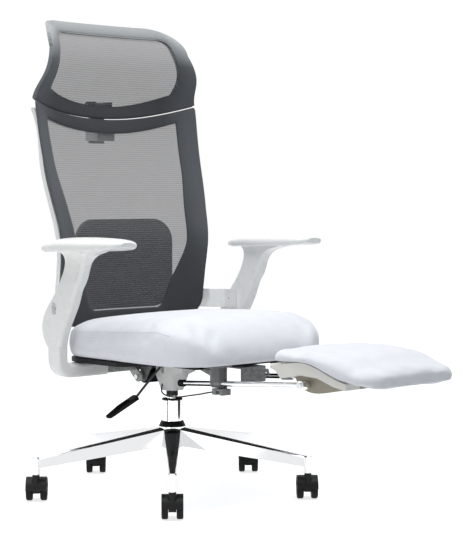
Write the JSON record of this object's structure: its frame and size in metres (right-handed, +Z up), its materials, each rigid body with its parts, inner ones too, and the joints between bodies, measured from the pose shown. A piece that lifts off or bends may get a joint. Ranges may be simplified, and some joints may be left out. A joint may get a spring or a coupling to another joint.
{
  "type": "reclining office chair with footrest",
  "caption": "High-backed mesh swivel chair on castors, with a reclining back, fixed arms, headrest, gas lift and a slide-out footrest",
  "frame": {"origin": "on the floor, on the axis of the column", "axes": "+Z up along the column, the sitter faces -Y, the sitter's right hand is at -X"},
  "size_m": [0.7169, 1.1554, 1.143],
  "materials": {
    "chrome": "polished",
    "white_plastic": "satin",
    "black_plastic": "matt",
    "dark_border": "knitted",
    "grey_mesh": "open mesh",
    "dark_pad": "matt",
    "white_fabric": "smooth",
    "cream_plastic": "satin",
    "dark_steel": "satin",
    "grey_steel": "satin",
    "bright_steel": "turned",
    "tread": "matt",
    "cable": "smooth"
  },
  "bodies": {
    "base": {"base_star": "chrome", "castor_stems": "bright_steel", "column_tube": "chrome", "column_bush": "black_plastic", "column_collar": "black_plastic", "thrust_bearing": "bright_steel"},
    "lift_rod": {"piston_rod": "bright_steel"},
    "chassis": {"inner_tube": "chrome", "column_block": "white_plastic", "seat_plate": "dark_steel", "seat_screws": "bright_steel", "hinge_shaft": "bright_steel", "spring_drum": "black_plastic", "recline_spring": "bright_steel", "seat_pan": "black_plastic", "seat_cushion": "white_fabric", "guide_brackets": "dark_steel", "middle_plate": "dark_steel", "slide_latch": "dark_steel", "latch_cable": "cable"},
    "release_pin": {"release_pin": "bright_steel"},
    "lever": {"lever_rod": "dark_steel", "lever_grip": "black_plastic"},
    "slide": {"slide_rod_right": "chrome", "slide_rod_left": "chrome", "rod_caps": "black_plastic", "footrest_hinge_bar": "bright_steel"},
    "footrest": {"footrest_shell": "cream_plastic", "footrest_pad": "white_fabric"},
    "back": {"back_yoke": "grey_steel", "back_border": "dark_border", "back_mesh": "grey_mesh", "back_frame": "white_plastic", "arm_post_left": "white_plastic", "arm_post_right": "white_plastic", "arm_pad_left": "white_plastic", "arm_pad_right": "white_plastic", "arm_cover_left": "white_plastic", "arm_cover_right": "white_plastic", "arm_screws": "bright_steel"},
    "lumbar": {"lumbar_pad": "dark_pad"},
    "headrest_post": {"headrest_post": "dark_steel"},
    "headrest": {"headrest_border": "dark_border", "headrest_mesh": "grey_mesh", "headrest_pin": "bright_steel"},
    "castor_1": {"castor_1_hood": "black_plastic"},
    "wheels_1": {"castor_1_wheels": "tread", "castor_1_axle": "bright_steel"},
    "castor_2": {"castor_2_hood": "black_plastic"},
    "wheels_2": {"castor_2_wheels": "tread", "castor_2_axle": "bright_steel"},
    "castor_3": {"castor_3_hood": "black_plastic"},
    "wheels_3": {"castor_3_wheels": "tread", "castor_3_axle": "bright_steel"},
    "castor_4": {"castor_4_hood": "black_plastic"},
    "wheels_4": {"castor_4_wheels": "tread", "castor_4_axle": "bright_steel"},
    "castor_5": {"castor_5_hood": "black_plastic"},
    "wheels_5": {"castor_5_wheels": "tread", "castor_5_axle": "bright_steel"}
  },
  "joints": [
    {"name": "castor_1_swivel", "type": "hinge", "parent": "base", "child": "castor_1", "pos_m": [-0.21978, -0.25283, 0.05], "axis": [0, 0, 1], "continuous": true},
    {"name": "castor_1_roll", "type": "hinge", "parent": "castor_1", "child": "wheels_1", "pos_m": [-0.20731, -0.23849, 0.025], "axis": [-0.7547, 0.6561, 0], "continuous": true},
    {"name": "castor_2_swivel", "type": "hinge", "parent": "base", "child": "castor_2", "pos_m": [0.17254, -0.28715, 0.05], "axis": [0, 0, 1], "continuous": true},
    {"name": "castor_2_roll", "type": "hinge", "parent": "castor_2", "child": "wheels_2", "pos_m": [0.185, -0.27281, 0.025], "axis": [-0.7547, 0.6561, 0], "continuous": true},
    {"name": "castor_3_swivel", "type": "hinge", "parent": "base", "child": "castor_3", "pos_m": [0.32641, 0.07536, 0.05], "axis": [0, 0, 1], "continuous": true},
    {"name": "castor_3_roll", "type": "hinge", "parent": "castor_3", "child": "wheels_3", "pos_m": [0.33888, 0.0897, 0.025], "axis": [-0.7547, 0.6561, 0], "continuous": true},
    {"name": "castor_4_swivel", "type": "hinge", "parent": "base", "child": "castor_4", "pos_m": [0.0292, 0.33372, 0.05], "axis": [0, 0, 1], "continuous": true},
    {"name": "castor_4_roll", "type": "hinge", "parent": "castor_4", "child": "wheels_4", "pos_m": [0.04166, 0.34807, 0.025], "axis": [-0.7547, 0.6561, 0], "continuous": true},
    {"name": "castor_5_swivel", "type": "hinge", "parent": "base", "child": "castor_5", "pos_m": [-0.30837, 0.1309, 0.05], "axis": [0, 0, 1], "continuous": true},
    {"name": "castor_5_roll", "type": "hinge", "parent": "castor_5", "child": "wheels_5", "pos_m": [-0.2959, 0.14523, 0.025], "axis": [-0.7547, 0.6561, 0], "continuous": true},
    {"name": "column_swivel", "type": "hinge", "parent": "base", "child": "lift_rod", "pos_m": [0, 0, 0.1], "axis": [0, 0, 1], "continuous": true},
    {"name": "column_lift", "type": "slide", "parent": "lift_rod", "child": "chassis", "axis": [0, 0, 1], "range_m": [-0.019, 0.08]},
    {"name": "lever_hinge", "type": "hinge", "parent": "chassis", "child": "lever", "pos_m": [-0.025, 0, 0.315], "axis": [0, 1, 0], "range_deg": [0, 12], "stiffness_Nm_per_rad": 1.5, "springref_deg": -17.19},
    {"name": "release_pin_travel", "type": "slide", "parent": "chassis", "child": "release_pin", "axis": [0, 0, -1], "range_m": [0, 0.0053]},
    {"name": "recline", "type": "hinge", "parent": "chassis", "child": "back", "pos_m": [0, 0.048, 0.282], "axis": [-1, 0, 0], "range_deg": [0, 30], "stiffness_Nm_per_rad": 60, "springref_deg": -34.38},
    {"name": "lumbar_height", "type": "slide", "parent": "back", "child": "lumbar", "axis": [0, 0, 1], "range_m": [-0.015, 0.015]},
    {"name": "headrest_height", "type": "slide", "parent": "back", "child": "headrest_post", "axis": [0, 0, 1], "range_m": [0, 0.05]},
    {"name": "headrest_tilt", "type": "hinge", "parent": "headrest_post", "child": "headrest", "pos_m": [0, 0.289, 0.94], "axis": [-1, 0, 0], "range_deg": [0, 20]},
    {"name": "footrest_slide", "type": "slide", "parent": "chassis", "child": "slide", "axis": [0, 0.9973, -0.0732], "range_m": [0, 0.1]},
    {"name": "footrest_flip", "type": "hinge", "parent": "slide", "child": "footrest", "pos_m": [0, -0.54496, 0.31642], "axis": [1, 0, 0], "range_deg": [0, 165]}
  ],
  "couplings": [
    {"joint": "release_pin_travel", "follows": "lever_hinge", "m_per_rad": 0.025}
  ]
}
